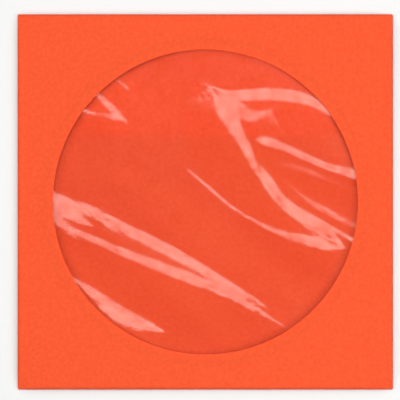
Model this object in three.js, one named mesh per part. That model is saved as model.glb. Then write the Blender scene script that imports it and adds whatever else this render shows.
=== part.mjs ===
// Paper sleeve for one compact disc, with a round film window.
// Lengths are in millimetres. The sleeve lies on its back with the window up: X runs across it,
// Y runs towards the closing flap, Z is up, and the origin is the middle of its resting side.

import * as THREE from 'three';

// The disc that the sleeve is made for, and the room left round it
const DISC_DIAMETER = 120;
const DISC_THICKNESS = 1.2;
const DISC_SIDE_ROOM = 2.5;
const DISC_END_ROOM = 2.5;
const DISC_CLEARANCE = 0.1;

// The sheets and what joins them
const PAPER_THICKNESS = 0.12;
const GLUE_THICKNESS = 0.05;

// The front panel's window
const WINDOW_DIAMETER = 101.6;

// The film glued behind the window
const FILM_THICKNESS = 0.03;
const FILM_SLACK = 0.42;
const FILM_BORDER = 0.2;
const WRINKLE_ROUNDING = 0.25;
const WRINKLE_END = 3;
const WINDOW_GLUE_SETBACK = 2.2;
const WINDOW_GLUE_WIDTH = 1.8;

// The narrow seam flaps at the left and right, folded inside
const SEAM_FLAP_WIDTH = 12;
const SEAM_FLAP_TAPER = THREE.MathUtils.degToRad(20);
const SEAM_GLUE_WIDTH = 8;
const SEAM_GLUE_END_GAP = 6;

// The back panel, folded up from the bottom edge and glued on the seam flaps
const BACK_SIDE_INSET = 1;
const BACK_TAPER_LENGTH = 6;
const MOUTH_SETBACK = 1.5;

// The closing flap, folded behind from the top edge
const FLAP_DEPTH = 32;
const FLAP_SIDE_TAPER = 4;
const FLAP_CORNER_RADIUS = 9;
const FLAP_CLEARANCE = 0.08;
const FLAP_EDGE_MARGIN = 0.5;
const BACK_RAMP_LENGTH = 8;

// The corners, where the creases meet and hold the layers together
const CORNER_REACH = 8;
const CORNER_CLEARANCE = 0.06;

// How finely the bent and round places are divided
const FOLD_STEPS = 6;
const EDGE_PITCH = 7;
const FILM_PITCH = 3;
const PANEL_STEPS = 6;
const RAMP_STEPS = 4;
const FLAP_CORNER_STEPS = 5;
const GLUE_RING_STEPS = 32;
const CREST_STEPS = 40;

const halfWidth = DISC_DIAMETER / 2 + DISC_SIDE_ROOM;
const halfHeight = DISC_DIAMETER / 2 + DISC_END_ROOM;
const halfPaper = PAPER_THICKNESS / 2;
const windowRadius = WINDOW_DIAMETER / 2;
const glueInnerRadius = windowRadius + WINDOW_GLUE_SETBACK;
const glueOuterRadius = glueInnerRadius + WINDOW_GLUE_WIDTH;
const halfFilm = glueOuterRadius + FILM_BORDER;

// Heights of the middle of the paper in each layer, from the resting side up
const outerMiddle = halfPaper;
const seamMiddle = outerMiddle + PAPER_THICKNESS + GLUE_THICKNESS;
const backLift = PAPER_THICKNESS + FLAP_CLEARANCE;
const pocketGap = DISC_THICKNESS + DISC_CLEARANCE + FILM_SLACK;
const filmUnder = PAPER_THICKNESS + backLift + pocketGap;
const panelUnder = filmUnder + FILM_THICKNESS + GLUE_THICKNESS;
const panelMiddle = panelUnder + halfPaper;
const cornerMiddle = seamMiddle + backLift + PAPER_THICKNESS + CORNER_CLEARANCE;

// Where the folds start at the corners, in from the sleeve's outer edges
const cornerY = halfHeight - halfPaper - (cornerMiddle - outerMiddle) / 2;
const topCornerX = halfWidth - halfPaper - (cornerMiddle - seamMiddle - backLift) / 2;
const bottomCornerX = halfWidth - halfPaper - (cornerMiddle - seamMiddle) / 2;

const flapEdgeY = halfHeight - FLAP_DEPTH;
const rampEndY = flapEdgeY - FLAP_EDGE_MARGIN;
const rampStartY = rampEndY - BACK_RAMP_LENGTH;
const mouthY = halfHeight - MOUTH_SETBACK;

// Paper layers behind the panel rise over the closing flap, which lies under their upper part
function liftAt(y) {
  return backLift * THREE.MathUtils.smoothstep(y, rampStartY, rampEndY);
}

// The front panel is level, and dips to its four corners
function panelHeight(x, y) {
  const cornerX = y > 0 ? topCornerX : bottomCornerX;
  const away = Math.hypot(cornerX - Math.abs(x), cornerY - Math.abs(y));
  const pinch = Math.max(0, 1 - away / CORNER_REACH);
  return panelMiddle - (panelMiddle - cornerMiddle) * pinch ** 2;
}

// Evenly spaced places from one value to another, no further apart than the pitch
function spread(from, to, pitch) {
  const count = Math.max(1, Math.round(Math.abs(to - from) / pitch));
  return Array.from({ length: count + 1 }, (_, i) => from + ((to - from) * i) / count);
}

// Places up the sleeve, with extra ones on the ramp over the closing flap
const ramp = spread(rampStartY, rampEndY, BACK_RAMP_LENGTH / RAMP_STEPS);
const sideStops = [
  ...spread(-cornerY, rampStartY, EDGE_PITCH).slice(0, -1),
  ...ramp,
  ...spread(rampEndY, cornerY, EDGE_PITCH).slice(1),
];
const panelSteps = Array.from({ length: PANEL_STEPS + 1 }, (_, i) => {
  return Math.sin((Math.PI / 2) * (i / PANEL_STEPS));
});
const foldSteps = spread(0, Math.PI, Math.PI / FOLD_STEPS);

// A patch of paper laid out on a plane grid: place(stop, step) gives the middle of the paper
// and the way its printed face looks. Stops run anticlockwise round the sleeve, as seen from
// the window side, and steps run away from the window.
function patch(stops, steps, place) {
  const grid = new THREE.PlaneGeometry(1, 1, stops.length - 1, steps.length - 1);
  const points = steps.flatMap((step) => stops.map((stop) => place(stop, step)));
  return { index: Array.from(grid.index.array), points };
}

// Joins patches along the edges they share and gives them the sheet's thickness: an outer face,
// an inner face and a rim along every free edge
function sheet(patches, thickness) {
  const outer = [];
  const inner = [];
  const known = new Map();
  const triangles = [];
  const edges = new Map();
  for (const { index, points } of patches) {
    const ids = points.map(({ middle, facing }) => {
      const key = middle.toArray().map((value) => Math.round(value * 1e4)).join(' ');
      if (!known.has(key)) {
        known.set(key, outer.length);
        outer.push(middle.clone().addScaledVector(facing, thickness / 2));
        inner.push(middle.clone().addScaledVector(facing, -thickness / 2));
      }
      return known.get(key);
    });
    for (let i = 0; i < index.length; i += 3) {
      const corners = [ids[index[i]], ids[index[i + 1]], ids[index[i + 2]]];
      if (new Set(corners).size < 3) continue;
      triangles.push(corners);
      corners.forEach((a, k) => edges.set(`${a} ${corners[(k + 1) % 3]}`, [a, corners[(k + 1) % 3]]));
    }
  }
  const count = outer.length;
  const faces = triangles.flatMap(([a, b, c]) => [a, b, c, c + count, b + count, a + count]);
  for (const [a, b] of edges.values()) {
    if (edges.has(`${b} ${a}`)) continue;
    faces.push(b, a, a + count, b, a + count, b + count);
  }
  const geometry = new THREE.BufferGeometry();
  geometry.setFromPoints([...outer, ...inner]);
  geometry.setIndex(faces);
  geometry.computeVertexNormals();
  return geometry;
}

const up = new THREE.Vector3(0, 0, 1);
const down = new THREE.Vector3(0, 0, -1);

// The four sides of the sleeve. Each gives the places along its edge, the outline point of
// the panel there, the way out of the sleeve, and the height of the paper that is folded behind.
const sides = {
  right: sideEdge(1),
  left: sideEdge(-1),
  top: endEdge(1, topCornerX),
  bottom: endEdge(-1, bottomCornerX),
};

function sideEdge(sign) {
  return {
    stops: sign > 0 ? sideStops : [...sideStops].reverse(),
    outline: (y) => new THREE.Vector2(sign * (y > 0 ? topCornerX : bottomCornerX), y),
    out: new THREE.Vector2(sign, 0),
    start: (y, radius) => new THREE.Vector2(sign * (halfWidth - halfPaper - radius), y),
    behind: (y) => seamMiddle + liftAt(y),
  };
}

function endEdge(sign, cornerX) {
  return {
    stops: spread(sign * cornerX, -sign * cornerX, EDGE_PITCH),
    outline: (x) => new THREE.Vector2(x, sign * cornerY),
    out: new THREE.Vector2(0, sign),
    start: (x, radius) => new THREE.Vector2(x, sign * (halfHeight - halfPaper - radius)),
    behind: () => outerMiddle,
  };
}

// The fold at one place along a side: where it starts, its height there and its radius
function foldAt(side, stop) {
  const edge = side.outline(stop);
  const height = panelHeight(edge.x, edge.y);
  const radius = (height - side.behind(stop)) / 2;
  return { edge, height, radius, start: side.start(stop, radius) };
}

// The panel's quarter between the window and one side
function panelPatch(side) {
  return patch(side.stops, panelSteps, (stop, step) => {
    const { edge, start } = foldAt(side, stop);
    const rim = edge.clone().setLength(windowRadius);
    const level = rim.clone().lerp(edge, step);
    const at = rim.lerp(start, step);
    return { middle: new THREE.Vector3(at.x, at.y, panelHeight(level.x, level.y)), facing: up };
  });
}

// The half turn of paper along one side
function foldPatch(side) {
  return patch(side.stops, foldSteps, (stop, turn) => {
    const { start, height, radius } = foldAt(side, stop);
    const out = new THREE.Vector3(side.out.x, side.out.y, 0);
    const middle = new THREE.Vector3(start.x, start.y, height - radius * (1 - Math.cos(turn)));
    middle.addScaledVector(out, radius * Math.sin(turn));
    const facing = out.multiplyScalar(Math.sin(turn)).addScaledVector(up, Math.cos(turn));
    return { middle, facing };
  });
}

// A seam flap lies on the back panel and narrows to its ends, clear of the ramp's places
function seamFlapPatch(side) {
  const reach = SEAM_FLAP_WIDTH - (halfWidth - bottomCornerX);
  return patch(side.stops, [0, 0.5, 1], (stop, step) => {
    const { start } = foldAt(side, stop);
    const taper = step * reach * Math.tan(SEAM_FLAP_TAPER);
    const innerX = side.out.x * (halfWidth - SEAM_FLAP_WIDTH);
    const x = THREE.MathUtils.lerp(start.x, innerX, step);
    const y = squeeze(stop, cornerY - taper);
    return { middle: new THREE.Vector3(x, y, side.behind(y)), facing: down };
  });
}

// Draws the places beyond the ramp in, so that the last one comes to the given distance
function squeeze(y, end) {
  if (y > rampEndY) return THREE.MathUtils.mapLinear(y, rampEndY, cornerY, rampEndY, end);
  if (y < rampStartY) return THREE.MathUtils.mapLinear(y, rampStartY, -cornerY, rampStartY, -end);
  return y;
}

// The back panel, from the bottom fold to the pocket's mouth
function backPatch(side) {
  const taperEndY = BACK_TAPER_LENGTH - cornerY;
  const rows = [-cornerY, taperEndY, ...ramp, mouthY];
  return patch(side.stops, rows, (stop, row) => {
    const { start } = foldAt(side, stop);
    const y = row === -cornerY ? start.y : row;
    const width = row < taperEndY ? bottomCornerX : halfWidth - BACK_SIDE_INSET;
    const x = (stop * width) / bottomCornerX;
    return { middle: new THREE.Vector3(x, y, outerMiddle + liftAt(y)), facing: down };
  });
}

// The closing flap, with sides that draw in and round corners
function flapPatch(side) {
  const reach = cornerY - flapEdgeY;
  const straight = reach - FLAP_CORNER_RADIUS;
  const turns = spread(0, Math.PI / 2, Math.PI / 2 / FLAP_CORNER_STEPS);
  const rows = [0, ...turns.map((turn) => straight + FLAP_CORNER_RADIUS * Math.sin(turn))];
  return patch(side.stops, rows, (stop, row) => {
    const { start } = foldAt(side, stop);
    const along = Math.max(0, row - straight) / FLAP_CORNER_RADIUS;
    const rounding = FLAP_CORNER_RADIUS * (1 - Math.sqrt(Math.max(0, 1 - along ** 2)));
    const width = topCornerX - (FLAP_SIDE_TAPER * row) / reach - rounding;
    const y = row === 0 ? start.y : cornerY - row;
    return { middle: new THREE.Vector3((stop * width) / topCornerX, y, outerMiddle), facing: down };
  });
}

// The sleeve's paper: one die-cut blank, folded along its four creases
function sleevePaper() {
  const around = Object.values(sides);
  const patches = [
    ...around.map(panelPatch),
    ...around.map(foldPatch),
    seamFlapPatch(sides.right),
    seamFlapPatch(sides.left),
    backPatch(sides.bottom),
    flapPatch(sides.top),
  ];
  return sheet(patches, PAPER_THICKNESS);
}

// The film's wrinkles. Each follows the middle of its steep side, which looks to the left of the
// way its points run. A wrinkle has the slope of its steep side, the width of its gentle side,
// and points that give x, y and the steep side's width there.
const WRINKLES = [
  {
    slope: 0.038,
    gentle: 16,
    line: [
      [-54, 3.4, 4], [-47, 0, 5], [-38, -3.2, 5], [-31, -6.8, 4.6], [-22, -11, 4.2],
      [-12, -16.1, 4.6], [-4, -20.5, 3.8], [5, -25.7, 3.4], [11, -29.4, 2.8],
      [17, -33, 1.8], [21, -35.5, 0.3],
    ],
  },
  { slope: 0.038, gentle: 20, line: [[-54, -1, 4], [-47, -3.4, 5], [-41, -6.4, 3.5], [-37, -8, 0.5]] },
  {
    slope: 0.045,
    gentle: 20,
    line: [
      [-53, -1.5, 1.5], [-46, -7.9, 3], [-41, -10.8, 3.6], [-36, -13, 4],
      [-28, -16.6, 4.2], [-20, -19.9, 4.2], [-11, -23.5, 4.6], [-2, -26.8, 4.6],
      [6, -30, 3.8], [13, -33.5, 3], [20, -37.6, 1.6], [26, -41.3, 0.5],
    ],
  },
  {
    slope: 0.045,
    gentle: 6,
    line: [
      [-53, -4, 1.5], [-48, -8.4, 2.5], [-44, -11.6, 1.6], [-40, -13.6, 0.3],
    ],
  },
  {
    slope: 0.014,
    gentle: 20,
    line: [
      [-35, -8, 0.5], [-28, -11, 8], [-16, -17, 10], [-4, -23, 8], [5, -28, 4],
      [11, -31.5, 1],
    ],
  },
  {
    slope: 0.042,
    gentle: 20,
    line: [
      [1, 38.6, 0.5], [7, 36, 3], [14, 35.6, 4.6], [22, 35.9, 4.8], [30, 35.1, 4.6],
      [36, 33.2, 3.4], [44, 28.6, 2.5],
    ],
  },
  {
    slope: 0.031,
    gentle: 20,
    line: [
      [7, 35, 1], [11, 31.5, 5], [14, 29, 6.5], [18, 29, 4.5], [22, 31, 0.5],
    ],
  },
  {
    slope: 0.049,
    gentle: 14,
    line: [
      [2.2, 38.6, 0.3], [4.4, 34.6, 3.6], [6.6, 30.4, 6.8], [9.6, 24.8, 7.2], [13.6, 18, 5.6],
      [19.6, 8.7, 4.8], [25, 0.9, 5], [31.5, -4.6, 5], [38, -9.2, 6], [44, -13.4, 4],
      [47, -15.5, 0.5],
    ],
  },
  {
    slope: 0.045,
    gentle: 16,
    line: [
      [-5, 10, 0.6], [1, 5, 1.1], [7, -0.2, 1.2], [13, -4.4, 1.6], [20, -8.1, 2.6],
      [28, -11.3, 4], [35, -13.2, 5.2], [41, -14.4, 4.8], [46, -15.5, 0.5],
    ],
  },
  {
    slope: 0.042,
    gentle: 9,
    line: [
      [15.5, 20.4, 0.3], [17.5, 20.6, 3], [20.5, 20.2, 4.5], [27, 18, 3], [33, 15.2, 3],
      [39, 12.4, 2.5], [45, 9.9, 2], [54, 7, 2.5],
    ],
  },
  { slope: 0.036, gentle: 5, line: [[39, 12.8, 0.5], [46, 10.9, 2], [54, 9.2, 2.5]] },
  { slope: 0.042, gentle: 5, line: [[32, -2, 0.5], [39, -6.8, 1.5], [45, -10.3, 1.8], [53, -15, 2]] },
  { slope: 0.025, gentle: 8, line: [[20, 13.5, 1], [30, 11.6, 3], [40, 8, 3], [50, 4.5, 1]] },
  { slope: 0.021, gentle: 8, line: [[27, 6.5, 1], [37, -1, 3], [52, -9, 2]] },
  {
    slope: 0.047,
    gentle: 16,
    line: [
      [-45, -24.6, 0.8], [-36.8, -30.7, 5], [-30.8, -35.6, 7.6], [-24.8, -39.1, 7.6],
      [-18.8, -41.3, 5], [-14, -43, 1],
    ],
  },
  {
    slope: 0.032,
    gentle: 6,
    line: [
      [-38, 37.5, 1.5], [-33, 33, 2.8], [-29.5, 29.6, 3.2], [-27.3, 27.6, 0.8],
    ],
  },
  {
    slope: 0.032,
    gentle: 6,
    line: [
      [-44, 31.4, 1.2], [-37, 29.6, 2.6], [-31, 28.2, 3], [-27.6, 27.4, 1],
    ],
  },
  { slope: 0.038, gentle: 4, line: [[-31, 42, 0.5], [-26.5, 38.3, 0.8]] },
];

// A straight fall from 1 to 0 with its two ends rounded off
function roundedFall(share) {
  const t = THREE.MathUtils.clamp(share, 0, 1);
  const bend = 2 * WRINKLE_ROUNDING * (1 - WRINKLE_ROUNDING);
  if (t < WRINKLE_ROUNDING) return 1 - (t * t) / bend;
  if (t > 1 - WRINKLE_ROUNDING) return (1 - t) ** 2 / bend;
  return 1 - (t - WRINKLE_ROUNDING / 2) / (1 - WRINKLE_ROUNDING);
}

// Height of one wrinkle over a place: it rises on the gentle side, falls on the steep side
// and dies away past both ends of its line
function wrinkleHeight(wrinkle, x, y) {
  const found = { distance: Infinity, across: 0, width: 0, past: 0 };
  const last = wrinkle.places.length - 2;
  for (let i = 0; i <= last; i += 1) {
    const a = wrinkle.places[i];
    const b = wrinkle.places[i + 1];
    const dx = b.x - a.x;
    const dy = b.y - a.y;
    const length = Math.hypot(dx, dy);
    const share = ((x - a.x) * dx + (y - a.y) * dy) / length ** 2;
    const within = THREE.MathUtils.clamp(share, 0, 1);
    const distance = Math.hypot(x - a.x - within * dx, y - a.y - within * dy);
    if (distance < found.distance) {
      found.distance = distance;
      found.across = (dx * (y - a.y) - dy * (x - a.x)) / length;
      found.width = THREE.MathUtils.lerp(a.z, b.z, within);
      const pastEnd = (share < 0 && i === 0) || (share > 1 && i === last);
      found.past = pastEnd ? Math.abs(share - within) * length : 0;
    }
  }
  const { across, width, past } = found;
  const height = wrinkle.slope * (1 - WRINKLE_ROUNDING) * width;
  const rise = THREE.MathUtils.smoothstep(across, -width / 2 - wrinkle.gentle, -width / 2);
  const ending = 1 - THREE.MathUtils.smoothstep(past, 0, WRINKLE_END);
  return height * rise * roundedFall(across / width + 0.5) * ending;
}

// Height of the slack film over its glued border
function filmRelief(x, y) {
  const away = Math.hypot(x, y);
  const free = 1 - THREE.MathUtils.smoothstep(away, windowRadius, glueInnerRadius);
  if (free === 0) return 0;
  const wrinkles = WRINKLES.reduce((sum, wrinkle) => sum + wrinkleHeight(wrinkle, x, y), 0);
  return free * (Math.min(wrinkles, FILM_SLACK) - FILM_SLACK);
}

// The window film: one square of clear film, flat where it is glued and wrinkled in the window
function windowFilm() {
  for (const wrinkle of WRINKLES) {
    const points = wrinkle.line.map(([x, y, width]) => new THREE.Vector3(x, y, width));
    wrinkle.places = new THREE.CatmullRomCurve3(points, false, 'catmullrom').getPoints(CREST_STEPS);
  }
  const rows = spread(halfFilm, -halfFilm, FILM_PITCH);
  const columns = spread(-halfFilm, halfFilm, FILM_PITCH);
  const middleZ = filmUnder + FILM_THICKNESS / 2;
  const square = patch(columns, rows, (x, y) => {
    return { middle: new THREE.Vector3(x, y, middleZ + filmRelief(x, y)), facing: up };
  });
  return sheet([square], FILM_THICKNESS);
}

// The ring of glue between the film and the panel, just outside the window
function windowGlue() {
  const ring = new THREE.Shape().absarc(0, 0, glueOuterRadius, 0, 2 * Math.PI);
  ring.holes.push(new THREE.Path().absarc(0, 0, glueInnerRadius, 0, 2 * Math.PI));
  const geometry = new THREE.ExtrudeGeometry(ring, {
    depth: GLUE_THICKNESS,
    bevelEnabled: false,
    curveSegments: GLUE_RING_STEPS,
  });
  return geometry.translate(0, 0, panelUnder - GLUE_THICKNESS);
}

// A strip of glue between a seam flap and the back panel, following the ramp
function seamGlue(sign) {
  const middleX = sign * (halfWidth - SEAM_FLAP_WIDTH / 2);
  const columns = [middleX - SEAM_GLUE_WIDTH / 2, middleX + SEAM_GLUE_WIDTH / 2];
  const end = mouthY - SEAM_GLUE_END_GAP;
  const rows = [end, ...[...ramp].reverse(), -end];
  const middleZ = PAPER_THICKNESS + GLUE_THICKNESS / 2;
  const strip = patch(columns, rows, (x, y) => {
    return { middle: new THREE.Vector3(x, y, middleZ + liftAt(y)), facing: up };
  });
  return sheet([strip], GLUE_THICKNESS);
}

const paperMaterial = new THREE.MeshStandardMaterial({ color: 0xfc5f37, roughness: 0.85, metalness: 0 });
const filmMaterial = new THREE.MeshStandardMaterial({
  color: 0xf7f9fa,
  roughness: 0.12,
  metalness: 0,
  transparent: true,
  opacity: 0.2,
});
const glueMaterial = new THREE.MeshStandardMaterial({ color: 0xefe6d2, roughness: 0.45, metalness: 0 });

function piece(name, geometry, material) {
  const mesh = new THREE.Mesh(geometry, material.clone());
  mesh.name = name;
  return mesh;
}

const sleeve = new THREE.Group();
sleeve.add(piece('sleeve_paper', sleevePaper(), paperMaterial));
sleeve.add(piece('window_film', windowFilm(), filmMaterial));
sleeve.add(piece('window_glue', windowGlue(), glueMaterial));
sleeve.add(piece('right_seam_glue', seamGlue(1), glueMaterial));
sleeve.add(piece('left_seam_glue', seamGlue(-1), glueMaterial));

export default sleeve;
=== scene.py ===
# Orange paper sleeve for one disc, with a round window of clear film, lying on its back

import math
import bpy
import numpy as np
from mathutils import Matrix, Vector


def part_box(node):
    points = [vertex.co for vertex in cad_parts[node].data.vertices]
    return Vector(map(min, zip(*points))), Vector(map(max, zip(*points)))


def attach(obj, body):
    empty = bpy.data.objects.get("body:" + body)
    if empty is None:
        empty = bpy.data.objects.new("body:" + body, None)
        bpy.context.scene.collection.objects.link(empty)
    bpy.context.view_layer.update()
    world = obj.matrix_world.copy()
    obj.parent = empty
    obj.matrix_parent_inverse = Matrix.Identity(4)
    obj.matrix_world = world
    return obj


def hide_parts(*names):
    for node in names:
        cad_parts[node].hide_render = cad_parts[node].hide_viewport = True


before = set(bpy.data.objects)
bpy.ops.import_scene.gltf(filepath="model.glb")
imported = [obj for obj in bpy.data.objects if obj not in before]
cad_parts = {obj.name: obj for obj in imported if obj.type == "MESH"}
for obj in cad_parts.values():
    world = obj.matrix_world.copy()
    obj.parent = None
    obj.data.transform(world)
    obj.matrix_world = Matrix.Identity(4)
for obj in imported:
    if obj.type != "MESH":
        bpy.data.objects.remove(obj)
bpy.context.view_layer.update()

# Sleeve paper
# One die-cut blank of uncoated orange paper, dyed right through. It is creased on four sides:
# two narrow seam flaps go inside, the back panel comes up from the bottom edge and is glued on
# their outsides, and the closing flap folds behind from the top edge.

MM = 0.001
half_side = 62.5 * MM
paper = 0.12 * MM
glue = 0.05 * MM
window_radius = 50.8 * MM
seam_flap_width = 12 * MM
seam_flap_taper = math.radians(20)
back_side_inset = 1 * MM
back_taper_length = 6 * MM
mouth_setback = 1.5 * MM
flap_depth = 32 * MM
flap_side_taper = 4 * MM
flap_corner_radius = 9 * MM
flap_clearance = 0.08 * MM
flap_edge_margin = 0.5 * MM
ramp_length = 8 * MM
corner_reach = 8 * MM
corner_clearance = 0.06 * MM
paper_pitch = 1.6 * MM
back_pitch = 6.4 * MM
fold_steps = 14
panel_steps = 14
seam_flap_steps = 7
flap_corner_steps = 12
join_distance = 1e-7
sharp_edge = math.radians(40)

sleeve_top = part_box("sleeve_paper")[1][2]
back_middle = paper / 2
seam_middle = back_middle + paper + glue
back_lift = paper + flap_clearance
panel_middle = sleeve_top - paper / 2
corner_middle = seam_middle + back_lift + paper + corner_clearance
corner_y = half_side - paper / 2 - (corner_middle - back_middle) / 2
top_corner_x = half_side - paper / 2 - (corner_middle - seam_middle - back_lift) / 2
bottom_corner_x = half_side - paper / 2 - (corner_middle - seam_middle) / 2
ramp_end_y = half_side - flap_depth - flap_edge_margin
ramp_start_y = ramp_end_y - ramp_length
mouth_y = half_side - mouth_setback


def smooth(value, low, high):
    share = np.clip((value - low) / (high - low), 0, 1)
    return share * share * (3 - 2 * share)


def lift_at(y):
    """The paper behind the panel rises over the closing flap."""
    return back_lift * smooth(y, ramp_start_y, ramp_end_y)


def panel_height(x, y):
    """The front panel is level, and dips to its corners, where the creases hold it."""
    corner_x = np.where(y > 0, top_corner_x, bottom_corner_x)
    away = np.hypot(corner_x - np.abs(x), corner_y - np.abs(y))
    pinch = np.clip(1 - away / corner_reach, 0, 1)
    return panel_middle - (panel_middle - corner_middle) * pinch ** 2


def spread(low, high, pitch):
    return np.linspace(low, high, max(1, round(abs(high - low) / pitch)) + 1)


def points(x, y, z):
    return np.stack(np.broadcast_arrays(x, y, z), axis=-1).astype(float)


def sheet(name, patches, thickness):
    """Joins patches of places along their shared edges into one closed sheet of even thickness."""
    middles = np.concatenate([middle.reshape(-1, 3) for middle, facing in patches])
    facings = np.concatenate([facing.reshape(-1, 3) for middle, facing in patches])
    keys = np.round(middles / join_distance)
    keys, first, ids = np.unique(keys, axis=0, return_index=True, return_inverse=True)
    ids = ids.reshape(-1)
    middles, facings = middles[first], facings[first]
    quads = []
    start = 0
    for middle, facing in patches:
        rows, columns = middle.shape[:2]
        grid = ids[start:start + rows * columns].reshape(rows, columns)
        start += rows * columns
        a, b, c, d = grid[:-1, :-1], grid[1:, :-1], grid[1:, 1:], grid[:-1, 1:]
        quads.append(np.stack([a, b, c, d], axis=-1).reshape(-1, 4))
    outer = [tuple(quad) for quad in np.concatenate(quads).tolist()]
    count = len(middles)
    faces = []
    edges = set()
    for quad in outer:
        corners = [a for k, a in enumerate(quad) if a != quad[k - 1]]
        faces.append(corners)
        faces.append([a + count for a in reversed(corners)])
        edges.update(zip(corners, corners[1:] + corners[:1]))
    for a, b in sorted(edges):
        if (b, a) not in edges:
            faces.append([b, a, a + count, b + count])
    shape = bpy.data.meshes.new(name)
    places = np.concatenate([middles + facings * thickness / 2, middles - facings * thickness / 2])
    shape.from_pydata(places.tolist(), [], faces)
    shape.update()
    shape.shade_smooth()
    shape.set_sharp_from_angle(angle=sharp_edge)
    piece = bpy.data.objects.new(name, shape)
    bpy.context.scene.collection.objects.link(piece)
    return piece


ramp = spread(ramp_start_y, ramp_end_y, paper_pitch)
side_stops = np.concatenate([
    spread(-corner_y, ramp_start_y, paper_pitch)[:-1],
    ramp,
    spread(ramp_end_y, corner_y, paper_pitch)[1:],
])
UP = np.array([0, 0, 1.0])


def side_edge(sign):
    stops = side_stops if sign > 0 else side_stops[::-1]
    outline_x = sign * np.where(stops > 0, top_corner_x, bottom_corner_x)
    height = panel_height(outline_x, stops)
    behind = seam_middle + lift_at(stops)
    radius = (height - behind) / 2
    start_x = sign * (half_side - paper / 2 - radius)
    return {"stops": stops, "edge": (outline_x, stops), "start": (start_x, stops), "out": (sign, 0),
            "height": height, "radius": radius}


def end_edge(sign, corner_x):
    stops = spread(sign * corner_x, -sign * corner_x, paper_pitch)
    height = panel_height(stops, np.full_like(stops, sign * corner_y))
    radius = (height - back_middle) / 2
    start_y = sign * (half_side - paper / 2 - radius)
    return {"stops": stops, "edge": (stops, np.full_like(stops, sign * corner_y)),
            "start": (stops, start_y), "out": (0, sign), "height": height, "radius": radius}


def panel_patch(side):
    """The panel's quarter between the window's cut edge and one side."""
    step = np.sin(np.linspace(0, math.pi / 2, panel_steps + 1))[:, None]
    edge_x, edge_y = side["edge"]
    reach = window_radius / np.hypot(edge_x, edge_y)
    rim_x, rim_y = edge_x * reach, edge_y * reach
    level = panel_height(rim_x + (edge_x - rim_x) * step, rim_y + (edge_y - rim_y) * step)
    x = rim_x + (side["start"][0] - rim_x) * step
    y = rim_y + (side["start"][1] - rim_y) * step
    middle = points(x, y, level)
    return middle, np.broadcast_to(UP, middle.shape)


def fold_patch(side):
    """The half turn of paper along one side."""
    turn = np.linspace(0, math.pi, fold_steps + 1)[:, None]
    out_x, out_y = side["out"]
    reach = side["radius"] * np.sin(turn)
    middle = points(side["start"][0] + out_x * reach, side["start"][1] + out_y * reach,
                    side["height"] - side["radius"] * (1 - np.cos(turn)))
    facing = points(out_x * np.sin(turn), out_y * np.sin(turn), np.cos(turn))
    return middle, np.broadcast_to(facing, middle.shape)


def seam_flap_patch(side):
    """A seam flap, lying on the back panel and narrower at its ends."""
    step = np.linspace(0, 1, seam_flap_steps + 1)[:, None]
    reach = seam_flap_width - (half_side - bottom_corner_x)
    end = corner_y - step * reach * math.tan(seam_flap_taper)
    stops = side["stops"]
    high = ramp_end_y + (stops - ramp_end_y) * (end - ramp_end_y) / (corner_y - ramp_end_y)
    low = ramp_start_y + (stops - ramp_start_y) * (end + ramp_start_y) / (corner_y + ramp_start_y)
    y = np.where(stops > ramp_end_y, high, np.where(stops < ramp_start_y, low, stops))
    start_x = side["start"][0]
    x = start_x + (side["out"][0] * (half_side - seam_flap_width) - start_x) * step
    middle = points(x, y, seam_middle + lift_at(y))
    return middle, np.broadcast_to(-UP, middle.shape)


def back_patch(side):
    """The back panel, from the bottom fold to the pocket's mouth."""
    taper_end_y = back_taper_length - corner_y
    rows = np.concatenate([[-corner_y], spread(taper_end_y, ramp_start_y, back_pitch)[:-1], ramp,
                           spread(ramp_end_y, mouth_y, back_pitch)[1:]])[:, None]
    first = rows == rows[0]
    y = np.where(first, side["start"][1], rows)
    width = np.where(first, bottom_corner_x, half_side - back_side_inset)
    middle = points(side["stops"] * width / bottom_corner_x, y, back_middle + lift_at(y))
    return middle, np.broadcast_to(-UP, middle.shape)


def flap_patch(side):
    """The closing flap, with sides that draw in and round corners."""
    reach = corner_y - (half_side - flap_depth)
    straight = reach - flap_corner_radius
    turns = np.linspace(0, math.pi / 2, flap_corner_steps + 1)
    rows = np.concatenate([[0], straight + flap_corner_radius * np.sin(turns)])[:, None]
    along = np.clip((rows - straight) / flap_corner_radius, 0, 1)
    rounding = flap_corner_radius * (1 - np.sqrt(1 - along ** 2))
    width = top_corner_x - flap_side_taper * rows / reach - rounding
    y = np.where(rows == 0, side["start"][1], corner_y - rows)
    middle = points(side["stops"] * width / top_corner_x, y, back_middle)
    return middle, np.broadcast_to(-UP, middle.shape)


right, left = side_edge(1), side_edge(-1)
top, bottom = end_edge(1, top_corner_x), end_edge(-1, bottom_corner_x)
around = [right, top, left, bottom]
blank = [panel_patch(side) for side in around] + [fold_patch(side) for side in around]
blank += [seam_flap_patch(right), seam_flap_patch(left), back_patch(bottom), flap_patch(top)]
sleeve = sheet("folded_paper", blank, paper)


def finish(name):
    """A new material: its node tree, its shader and a way to add nodes to it."""
    material = bpy.data.materials.new(name)
    material.use_nodes = True
    tree = material.node_tree
    shader = next(node for node in tree.nodes if node.type == "BSDF_PRINCIPLED")

    def add(kind, **values):
        node = tree.nodes.new(kind)
        for key, value in values.items():
            setattr(node, key, value)
        return node

    return material, tree, shader, add


def linear(red, green, blue):
    """A colour as it looks on screen, from 0 to 255, turned into light."""
    parts = [part / 255 for part in (red, green, blue)]
    return [part / 12.92 if part < 0.04045 else ((part + 0.055) / 1.055) ** 2.4 for part in parts] + [1]


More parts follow.
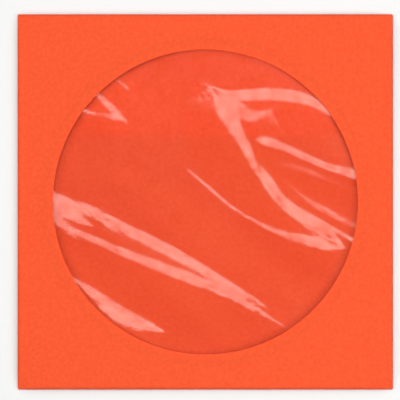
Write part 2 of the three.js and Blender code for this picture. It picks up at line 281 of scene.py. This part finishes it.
orange_paper, tree, shader, add = finish("orange_paper")
place = add("ShaderNodeTexCoord")
cloud = add("ShaderNodeTexNoise")
cloud.inputs["Scale"].default_value = 800
cloud.inputs["Detail"].default_value = 5
cloud.inputs["Roughness"].default_value = 0.65
tree.links.new(place.outputs["Object"], cloud.inputs["Vector"])
tone = add("ShaderNodeValToRGB")
tone.color_ramp.elements[0].position = 0.3
tone.color_ramp.elements[0].color = linear(244, 83, 42)
tone.color_ramp.elements[1].position = 0.7
tone.color_ramp.elements[1].color = linear(250, 97, 52)
tree.links.new(cloud.outputs["Fac"], tone.inputs["Fac"])
tree.links.new(tone.outputs["Color"], shader.inputs["Base Color"])
fibre = add("ShaderNodeTexNoise")
fibre.inputs["Scale"].default_value = 2600
fibre.inputs["Detail"].default_value = 4
tree.links.new(place.outputs["Object"], fibre.inputs["Vector"])
rough = add("ShaderNodeMapRange")
rough.inputs["To Min"].default_value = 0.78
rough.inputs["To Max"].default_value = 0.95
tree.links.new(fibre.outputs["Fac"], rough.inputs["Value"])
tree.links.new(rough.outputs["Result"], shader.inputs["Roughness"])
bump = add("ShaderNodeBump")
bump.inputs["Strength"].default_value = 0.25
bump.inputs["Distance"].default_value = 0.03 * MM
tree.links.new(fibre.outputs["Fac"], bump.inputs["Height"])
tree.links.new(bump.outputs["Normal"], shader.inputs["Normal"])
shader.inputs["Specular IOR Level"].default_value = 0.25
through = add("ShaderNodeBsdfTranslucent")
tree.links.new(tone.outputs["Color"], through.inputs["Color"])
both = add("ShaderNodeMixShader")
both.inputs["Fac"].default_value = 0.22
output = next(node for node in tree.nodes if node.type == "OUTPUT_MATERIAL")
tree.links.new(shader.outputs["BSDF"], both.inputs[1])
tree.links.new(through.outputs["BSDF"], both.inputs[2])
tree.links.new(both.outputs["Shader"], output.inputs["Surface"])

sleeve.data.materials.append(orange_paper)
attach(sleeve, "root")
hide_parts("sleeve_paper")

# Window film
# One square of clear film, cut a little larger than the window and glued to the panel's inside.
# It was fed slack, so it lies in long creases that run down to the right.

film = 0.03 * MM
film_slack = 0.42 * MM
film_pitch = 0.56 * MM
glue_setback = 2.2 * MM
film_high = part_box("window_film")[1]
half_film = film_high[0]
film_middle = film_high[2] - film / 2

# Each wrinkle follows the middle of its steep side, which looks to the left of the way its
# points run: the steep side's slope, the gentle side's width, and points with the steep side's
# width, all in millimetres
WRINKLES = [
    (0.038, 16, [(-54, 3.4, 4), (-47, 0, 5), (-38, -3.2, 5), (-31, -6.8, 4.6), (-22, -11, 4.2),
                 (-12, -16.1, 4.6), (-4, -20.5, 3.8), (5, -25.7, 3.4), (11, -29.4, 2.8), (17, -33, 1.8),
                 (21, -35.5, 0.3)]),
    (0.038, 20, [(-54, -1, 4), (-47, -3.4, 5), (-41, -6.4, 3.5), (-37, -8, 0.5)]),
    (0.045, 20, [(-53, -1.5, 1.5), (-46, -7.9, 3), (-41, -10.8, 3.6), (-36, -13, 4), (-28, -16.6, 4.2),
                 (-20, -19.9, 4.2), (-11, -23.5, 4.6), (-2, -26.8, 4.6), (6, -30, 3.8),
                 (13, -33.5, 3), (20, -37.6, 1.6), (26, -41.3, 0.5)]),
    (0.045, 6, [(-53, -4, 1.5), (-48, -8.4, 2.5), (-44, -11.6, 1.6), (-40, -13.6, 0.3)]),
    (0.014, 20, [(-35, -8, 0.5), (-28, -11, 8), (-16, -17, 10), (-4, -23, 8), (5, -28, 4),
                 (11, -31.5, 1)]),
    (0.042, 20, [(1, 38.6, 0.5), (7, 36, 3), (14, 35.6, 4.6), (22, 35.9, 4.8), (30, 35.1, 4.6),
                 (36, 33.2, 3.4), (44, 28.6, 2.5)]),
    (0.031, 20, [(7, 35, 1), (11, 31.5, 5), (14, 29, 6.5), (18, 29, 4.5), (22, 31, 0.5)]),
    (0.049, 14, [(2.2, 38.6, 0.3), (4.4, 34.6, 3.6), (6.6, 30.4, 6.8), (9.6, 24.8, 7.2),
                 (13.6, 18, 5.6), (19.6, 8.7, 4.8), (25, 0.9, 5), (31.5, -4.6, 5), (38, -9.2, 6),
                 (44, -13.4, 4), (47, -15.5, 0.5)]),
    (0.045, 16, [(-5, 10, 0.6), (1, 5, 1.1), (7, -0.2, 1.2), (13, -4.4, 1.6), (20, -8.1, 2.6),
                 (28, -11.3, 4), (35, -13.2, 5.2), (41, -14.4, 4.8), (46, -15.5, 0.5)]),
    (0.042, 9, [(15.5, 20.4, 0.3), (17.5, 20.6, 3), (20.5, 20.2, 4.5), (27, 18, 3), (33, 15.2, 3),
                 (39, 12.4, 2.5), (45, 9.9, 2), (54, 7, 2.5)]),
    (0.036, 5, [(39, 12.8, 0.5), (46, 10.9, 2), (54, 9.2, 2.5)]),
    (0.042, 5, [(32, -2, 0.5), (39, -6.8, 1.5), (45, -10.3, 1.8), (53, -15, 2)]),
    (0.025, 8, [(20, 13.5, 1), (30, 11.6, 3), (40, 8, 3), (50, 4.5, 1)]),
    (0.021, 8, [(27, 6.5, 1), (37, -1, 3), (52, -9, 2)]),
    (0.047, 16, [(-45, -24.6, 0.8), (-36.8, -30.7, 5), (-30.8, -35.6, 7.6), (-24.8, -39.1, 7.6),
                 (-18.8, -41.3, 5), (-14, -43, 1)]),
    (0.032, 6, [(-38, 37.5, 1.5), (-33, 33, 2.8), (-29.5, 29.6, 3.2), (-27.3, 27.6, 0.8)]),
    (0.032, 6, [(-44, 31.4, 1.2), (-37, 29.6, 2.6), (-31, 28.2, 3), (-27.6, 27.4, 1)]),
    (0.038, 4, [(-31, 42, 0.5), (-26.5, 38.3, 0.8)]),
]
crest_steps = 40
rounding = 0.25
wrinkle_end = 3


def smooth_line(line):
    """Places along a smooth curve through the given points."""
    knots = np.array([line[0], *line, line[-1]], dtype=float)
    places = []
    for share in np.linspace(0, len(line) - 1, crest_steps + 1):
        i = min(int(share), len(line) - 2)
        t = share - i
        a, b, c, d = knots[i:i + 4]
        low, high = (c - a) / 2, (d - b) / 2
        places.append((2 * b - 2 * c + low + high) * t ** 3
                      + (3 * c - 3 * b - 2 * low - high) * t ** 2 + low * t + b)
    return np.array(places)


def rounded_fall(share):
    """A straight fall from 1 to 0 with its two ends rounded off."""
    t = np.clip(share, 0, 1)
    bend = 2 * rounding * (1 - rounding)
    straight = 1 - (t - rounding / 2) / (1 - rounding)
    end = np.where(t > 1 - rounding, (1 - t) ** 2 / bend, straight)
    return np.where(t < rounding, 1 - t * t / bend, end)


def wrinkle(x, y, slope, gentle, line):
    """Height of one wrinkle over the places x and y, in millimetres."""
    places = smooth_line(line)
    nearest = np.full(x.shape, np.inf)
    across, width, past = np.zeros(x.shape), np.ones(x.shape), np.zeros(x.shape)
    for i in range(crest_steps):
        (ax, ay, a_width), (bx, by, b_width) = places[i], places[i + 1]
        dx, dy = bx - ax, by - ay
        length = math.hypot(dx, dy)
        share = ((x - ax) * dx + (y - ay) * dy) / length ** 2
        within = np.clip(share, 0, 1)
        distance = np.hypot(x - ax - within * dx, y - ay - within * dy)
        closer = distance < nearest
        before, after = np.minimum(share, 0) * (i == 0), np.maximum(share - 1, 0) * (i == crest_steps - 1)
        beyond = np.abs(before + after)
        nearest = np.where(closer, distance, nearest)
        across = np.where(closer, (dx * (y - ay) - dy * (x - ax)) / length, across)
        width = np.where(closer, a_width + (b_width - a_width) * within, width)
        past = np.where(closer, beyond * length, past)
    height = slope * (1 - rounding) * width
    rise = smooth(across, -width / 2 - gentle, -width / 2)
    return height * rise * rounded_fall(across / width + 0.5) * (1 - smooth(past, 0, wrinkle_end))


columns = spread(-half_film, half_film, film_pitch)
x, y = np.meshgrid(columns, columns[::-1])
relief = sum(wrinkle(x / MM, y / MM, *shape) for shape in WRINKLES) * MM
free = 1 - smooth(np.hypot(x, y), window_radius + film_pitch, window_radius + glue_setback)
z = film_middle + free * (np.minimum(relief, film_slack) - film_slack)
middle = points(x, y, z)
clear_film = sheet("clear_film", [(middle, np.broadcast_to(UP, middle.shape))], film)

clear_gloss, tree, shader, add = finish("clear_gloss")
shader.inputs["Metallic"].default_value = 1
place = add("ShaderNodeTexCoord")
haze = add("ShaderNodeTexNoise")
haze.inputs["Scale"].default_value = 300
tree.links.new(place.outputs["Object"], haze.inputs["Vector"])
gleam = add("ShaderNodeValToRGB")
gleam.color_ramp.elements[0].position = 0.35
gleam.color_ramp.elements[0].color = (0.6, 0.6, 0.6, 1)
gleam.color_ramp.elements[1].position = 0.6
gleam.color_ramp.elements[1].color = (1, 1, 1, 1)
tree.links.new(haze.outputs["Fac"], gleam.inputs["Fac"])
tree.links.new(gleam.outputs["Color"], shader.inputs["Base Color"])
rough = add("ShaderNodeMapRange")
rough.inputs["To Min"].default_value = 0.06
rough.inputs["To Max"].default_value = 0.1
tree.links.new(haze.outputs["Fac"], rough.inputs["Value"])
tree.links.new(rough.outputs["Result"], shader.inputs["Roughness"])
crinkle = add("ShaderNodeTexNoise")
crinkle.inputs["Scale"].default_value = 420
crinkle.inputs["Detail"].default_value = 3
tree.links.new(place.outputs["Object"], crinkle.inputs["Vector"])
# Fine crinkles gather in patches along the creases, where the film leans
lean = add("ShaderNodeNewGeometry")
upright = add("ShaderNodeSeparateXYZ")
tree.links.new(lean.outputs["Normal"], upright.inputs["Vector"])
squared = add("ShaderNodeMath", operation="POWER")
squared.inputs[1].default_value = 2
tree.links.new(upright.outputs["Z"], squared.inputs[0])
creased = add("ShaderNodeMapRange")
creased.inputs["From Min"].default_value = 0.99995
creased.inputs["From Max"].default_value = 0.9995
tree.links.new(squared.outputs["Value"], creased.inputs["Value"])
patchy = add("ShaderNodeTexNoise")
patchy.inputs["Scale"].default_value = 70
tree.links.new(place.outputs["Object"], patchy.inputs["Vector"])
where = add("ShaderNodeMapRange")
where.inputs["From Min"].default_value = 0.4
where.inputs["From Max"].default_value = 0.6
tree.links.new(patchy.outputs["Fac"], where.inputs["Value"])
crumpled = add("ShaderNodeMath", operation="MULTIPLY")
tree.links.new(creased.outputs["Result"], crumpled.inputs[0])
tree.links.new(where.outputs["Result"], crumpled.inputs[1])
bump = add("ShaderNodeBump")
tree.links.new(crumpled.outputs["Value"], bump.inputs["Strength"])
bump.inputs["Distance"].default_value = 0.07 * MM
tree.links.new(crinkle.outputs["Fac"], bump.inputs["Height"])
tree.links.new(bump.outputs["Normal"], shader.inputs["Normal"])
# Painted shade: faint lighter and darker streaks along the creases tint what shows through the film
along = add("ShaderNodeMapping")
along.vector_type = "TEXTURE"
along.inputs["Rotation"].default_value = (0, 0, math.radians(-35))
along.inputs["Scale"].default_value = (5, 1, 1)
tree.links.new(place.outputs["Object"], along.inputs["Vector"])
streak = add("ShaderNodeTexNoise")
streak.inputs["Scale"].default_value = 70
streak.inputs["Detail"].default_value = 1
tree.links.new(along.outputs["Vector"], streak.inputs["Vector"])
# The see-through tint darkens the paper seen through the film: partly the film's own tint, partly painted
# shade of the pocket
film_tint_and_painted_shade = add("ShaderNodeValToRGB")
film_tint_and_painted_shade.color_ramp.elements[0].position = 0.35
film_tint_and_painted_shade.color_ramp.elements[0].color = (0.983, 0.928, 0.935, 1)
film_tint_and_painted_shade.color_ramp.elements[1].position = 0.65
film_tint_and_painted_shade.color_ramp.elements[1].color = (0.995, 0.962, 0.965, 1)
tree.links.new(streak.outputs["Fac"], film_tint_and_painted_shade.inputs["Fac"])
clear = add("ShaderNodeBsdfTransparent")
tree.links.new(film_tint_and_painted_shade.outputs["Color"], clear.inputs["Color"])
# A face sends back a small share of what falls on it, and lets the lamps' light through whole
mirror_share = add("ShaderNodeFresnel")
mirror_share.inputs["IOR"].default_value = 1.5
most = add("ShaderNodeMath", operation="MINIMUM")
most.inputs[1].default_value = 0.12
tree.links.new(mirror_share.outputs["Fac"], most.inputs[0])
ray = add("ShaderNodeLightPath")
seen = add("ShaderNodeMath", operation="SUBTRACT")
seen.inputs[0].default_value = 1
tree.links.new(ray.outputs["Is Shadow Ray"], seen.inputs[1])
share = add("ShaderNodeMath", operation="MULTIPLY")
tree.links.new(most.outputs["Value"], share.inputs[0])
tree.links.new(seen.outputs["Value"], share.inputs[1])
both = add("ShaderNodeMixShader")
output = next(node for node in tree.nodes if node.type == "OUTPUT_MATERIAL")
tree.links.new(share.outputs["Value"], both.inputs["Fac"])
tree.links.new(clear.outputs["BSDF"], both.inputs[1])
tree.links.new(shader.outputs["BSDF"], both.inputs[2])
tree.links.new(both.outputs["Shader"], output.inputs["Surface"])

clear_film.data.materials.append(clear_gloss)
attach(clear_film, "root")
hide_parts("window_film")

# Glue
# Dried adhesive: a ring between the film and the panel, and a strip between each seam flap and
# the back panel. All three are hidden between the sheets that they join.

dried_glue, tree, shader, add = finish("dried_glue")
place = add("ShaderNodeTexCoord")
streak = add("ShaderNodeTexNoise")
streak.inputs["Scale"].default_value = 500
tree.links.new(place.outputs["Object"], streak.inputs["Vector"])
tone = add("ShaderNodeValToRGB")
tone.color_ramp.elements[0].color = linear(226, 214, 190)
tone.color_ramp.elements[1].color = linear(244, 237, 222)
tree.links.new(streak.outputs["Fac"], tone.inputs["Fac"])
tree.links.new(tone.outputs["Color"], shader.inputs["Base Color"])
rough = add("ShaderNodeMapRange")
rough.inputs["To Min"].default_value = 0.35
rough.inputs["To Max"].default_value = 0.6
tree.links.new(streak.outputs["Fac"], rough.inputs["Value"])
tree.links.new(rough.outputs["Result"], shader.inputs["Roughness"])
for name in ("window_glue", "right_seam_glue", "left_seam_glue"):
    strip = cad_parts[name]
    for slot in strip.material_slots:
        slot.material = dried_glue

# Table, light and camera
# A plain white table top. A high and a low soft lamp stand on each of the four sides, and two slim
# lamps nearly overhead shine in the film. The camera looks straight down.

table_shape = bpy.data.meshes.new("table")
half_table = 1.5
corners = [(x * half_table, y * half_table, 0) for x, y in ((-1, -1), (1, -1), (1, 1), (-1, 1))]
table_shape.from_pydata(corners, [], [(0, 1, 2, 3)])
table = bpy.data.objects.new("table", table_shape)
bpy.context.scene.collection.objects.link(table)
white, tree, shader, add = finish("white_table")
shader.inputs["Base Color"].default_value = (0.735, 0.74, 0.73, 1)
shader.inputs["Roughness"].default_value = 0.9
shader.inputs["Specular IOR Level"].default_value = 0.1
table.data.materials.append(white)


def lamp(name, around_deg, up_deg, distance, size, power, tint=(1, 1, 1)):
    """A soft rectangular lamp that looks at the sleeve: where it stands, its size and its power."""
    light = bpy.data.lights.new(name, "AREA")
    light.shape = "RECTANGLE"
    light.size, light.size_y = size
    light.energy = power
    light.color = tint
    body = bpy.data.objects.new(name, light)
    azimuth, height = math.radians(around_deg), math.radians(up_deg)
    body.location = (distance * math.cos(height) * math.cos(azimuth),
                     distance * math.cos(height) * math.sin(azimuth),
                     distance * math.sin(height))
    body.rotation_euler = (math.pi / 2 - height, 0, azimuth + math.pi / 2)
    bpy.context.scene.collection.objects.link(body)


lamp("lamp_high_right", -12, 66, 0.8, (0.2, 0.2), 1.6)
lamp("lamp_high_left", 175, 66, 1.2, (0.3, 0.3), 3.1)
lamp("lamp_high_top", 85, 66, 1.2, (0.3, 0.3), 3.4)
lamp("lamp_high_bottom", -95, 66, 1.2, (0.3, 0.3), 0.75)
lamp("lamp_low_right", -25, 40, 0.8, (0.3, 0.3), 2.1)
lamp("lamp_low_left", 175, 40, 1.2, (0.45, 0.45), 4.1)
lamp("lamp_low_top", 85, 40, 1.2, (0.45, 0.45), 2.75)
lamp("lamp_low_bottom", -95, 40, 1.2, (0.45, 0.45), 0.45)
warm = (1, 0.98, 0.88)
lamp("lamp_shine", 61, 85.55, 16, (6.4, 1.5), 60, warm)
lamp("lamp_shine_core", 61, 85.4, 15.8, (6.0, 0.9), 30, warm)

world = bpy.data.worlds.new("room")
world.use_nodes = True
background = next(node for node in world.node_tree.nodes if node.type == "BACKGROUND")
background.inputs["Color"].default_value = (1, 1, 1, 1)
background.inputs["Strength"].default_value = 0.05
bpy.context.scene.world = world

camera_height = 5
camera_right = -1.78 * MM
camera_forward = 0.65 * MM
picture_px = 400
sleeve_px = 375.3
picture_width = picture_px * 2 * half_side / sleeve_px
lens = bpy.data.cameras.new("camera")
lens.sensor_width = 36
lens.lens = lens.sensor_width * (camera_height - sleeve_top) / picture_width
lens.clip_end = 100
camera = bpy.data.objects.new("camera", lens)
camera.location = (camera_right, camera_forward, camera_height)
bpy.context.scene.collection.objects.link(camera)
bpy.context.scene.camera = camera
bpy.context.scene.view_settings.view_transform = "Standard"
